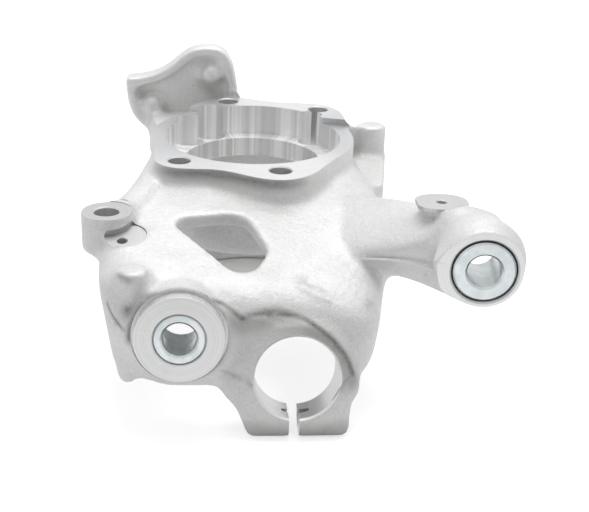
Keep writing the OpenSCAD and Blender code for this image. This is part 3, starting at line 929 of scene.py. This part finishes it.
def pipe(name, outer, inner, length, placement, material, bevel_out=0.8, bevel_in=0.9,
         relief=None):
    """Pipe with bevelled ends; relief is the depth and radius of a wider bore behind."""
    bore = [(inner, bevel_in)]
    wide = inner
    if relief:
        deep, wide = relief
        bore += [(inner, deep), (wide, deep + 1)]
    bore.append((wide, length - bevel_in))
    profile = [(outer - bevel_out, 0), (inner + bevel_in, 0), *bore,
               (wide + bevel_in, length), (outer - bevel_out, length),
               (outer, length - bevel_out), (outer, bevel_out)]
    made = turned_ring(name, profile, placement, material)
    smooth(made)
    return made


PLATED = plated_steel()
left_sleeve = pipe("left_bush_sleeve", LEFT_SLEEVE, SLEEVE_BORE, LEFT_LENGTH, left, PLATED,
                   relief=LEFT_RELIEF)
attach(left_sleeve, "root")
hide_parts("left_sleeve")
right_sleeve = pipe("right_bush_sleeve", RIGHT_SLEEVE, SLEEVE_BORE, RIGHT_LENGTH, right, PLATED)
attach(right_sleeve, "root")
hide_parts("right_sleeve")

# Rubber ring. Black rubber is bonded between the right sleeve and its housing, and is set
# back behind the face.
RUBBER_DARK = (0.05, 0.05, 0.05)
RUBBER_WORN = (0.10, 0.10, 0.10)
RUBBER_OUTER = 15.7
RUBBER_LENGTH = 22
SET_BACK = 0.003


def bush_rubber():
    f = Finish(bpy.data.materials.new("bush_rubber"))
    fine = f.noise(f.place(), 700, 2, 0.6)
    tone = f.mix(fine.between(0.3, 0.7), RUBBER_DARK, RUBBER_WORN)
    return f.surface(Base_Color=tone, Roughness=0.62 + fine * 0.15,
                     Normal=f.bump(fine, 0.0001, 0.6))


ring_at = right @ Matrix.Translation((0, 0, SET_BACK))
right_rubber = pipe("right_bush_rubber", RUBBER_OUTER, RIGHT_SLEEVE, RUBBER_LENGTH, ring_at,
                    bush_rubber(), bevel_out=0.3, bevel_in=0.3)
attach(right_rubber, "root")
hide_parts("right_rubber")

# Floor. A pale matt floor just under the part's feet. Its glow, which only the camera and
# mirrors see, makes it white, and fades to a painted shadow below the hub, where the bore looks
# down.
FLOOR_Z = -0.0972
FLOOR_HALF = 4
FLOOR_GREY = (0.8, 0.8, 0.8)
FLOOR_GLOW = 0.62
BELOW_HUB = (0, 0.01, FLOOR_Z)
HUB_SHADE = (0.06, 0.06, 0.04)
WHITE = (1, 1, 1)


def shown(f):
    """1 for rays from the camera, off a mirror or through glass, else 0."""
    rays = [f.node("LightPath", out="Is %s Ray" % ray)
            for ray in ("Camera", "Glossy", "Transmission")]
    return (rays[0] + rays[1] + rays[2]).at_most(1.0)


def floor_white():
    f = Finish(bpy.data.materials.new("floor_white"))
    off = f.vector("LENGTH", f.vector("SUBTRACT", f.place(), BELOW_HUB), out="Value")
    # painted shadow: the glow fades to HUB_SHADE under the hub
    glow_with_painted_shadow = f.mix(off.between(0.045, 0.075), HUB_SHADE, WHITE)
    matt = f.node("BsdfDiffuse", None, {"Color": FLOOR_GREY})
    glow = f.node("Emission", None, {"Color": glow_with_painted_shadow, "Strength": FLOOR_GLOW})
    both = f.node("AddShader", None, {0: matt, 1: glow})
    return f.end("Material", f.node("MixShader", None, {0: shown(f), 1: matt, 2: both}))


floor = solid("floor", [(-FLOOR_HALF, -FLOOR_HALF, FLOOR_Z), (FLOOR_HALF, -FLOOR_HALF, FLOOR_Z),
                        (FLOOR_HALF, FLOOR_HALF, FLOOR_Z), (-FLOOR_HALF, FLOOR_HALF, FLOOR_Z)],
              [(0, 1, 2, 3)], floor_white())

# Light. A white surround shines softly from all sides, and one large round lamp from above
# and behind. A grey card in front, which the camera doesn't see, dims the front's shine.
SURROUND = 0.54
CARD_GREY = (0.62, 0.62, 0.62)
CARD_HALF = 1.6
CARD_Y = -1.3
CARD_FOOT = -0.09
CARD_TOP = 1.3
scene = bpy.context.scene
world = bpy.data.worlds.new("surround")
scene.world = world
sky = Finish(world)
power = SURROUND + shown(sky) * (1 - SURROUND)
sky.end("World", sky.node("Background", None, {"Color": WHITE, "Strength": power}))


def lamp(name, place, aim, size, watts):
    data = bpy.data.lights.new(name, "AREA")
    data.shape = "DISK"
    data.size = size
    data.energy = watts
    made = bpy.data.objects.new(name, data)
    made.location = place
    made.rotation_euler = (Vector(aim) - Vector(place)).to_track_quat("-Z", "Y").to_euler()
    bpy.context.collection.objects.link(made)


def card_grey():
    f = Finish(bpy.data.materials.new("card_grey"))
    grey = f.node("BsdfDiffuse", None, {"Color": CARD_GREY})
    clear = f.node("BsdfTransparent")
    camera_ray = f.node("LightPath", out="Is Camera Ray")
    return f.end("Material", f.node("MixShader", None, {0: camera_ray, 1: grey, 2: clear}))


lamp("top_lamp", place=(0.1, 0.25, 1.1), aim=(0, -0.05, -0.03), size=0.8, watts=6.6)
card = solid("front_card", [(-CARD_HALF, CARD_Y, CARD_FOOT), (CARD_HALF, CARD_Y, CARD_FOOT),
                            (CARD_HALF, CARD_Y, CARD_TOP), (-CARD_HALF, CARD_Y, CARD_TOP)],
             [(0, 1, 2, 3)], card_grey())

# Camera. It looks down on the clamp and the bushes from in front, where the photograph was
# taken. Its focal length is 1100 pixels of a picture 589 pixels wide.
FOCAL_PIXELS = 1100
PICTURE_WIDTH = 589
SENSOR = 36
EYE = (-0.0241, -0.6046, 0.1919)
rightward = Vector((0.99705, -0.06812, 0.03529)).normalized()
forward = Vector((0.07658, 0.91189, -0.40322)).normalized()
upward = rightward.cross(forward)
camera_data = bpy.data.cameras.new("camera")
camera_data.sensor_width = SENSOR
camera_data.lens = FOCAL_PIXELS / PICTURE_WIDTH * SENSOR
camera_data.clip_start = 0.01
camera = bpy.data.objects.new("camera", camera_data)
bpy.context.collection.objects.link(camera)
camera.matrix_world = Matrix.Translation(EYE) @ Matrix(
    (rightward, upward, -forward)).transposed().to_4x4()
scene.camera = camera
scene.view_settings.view_transform = "Standard"
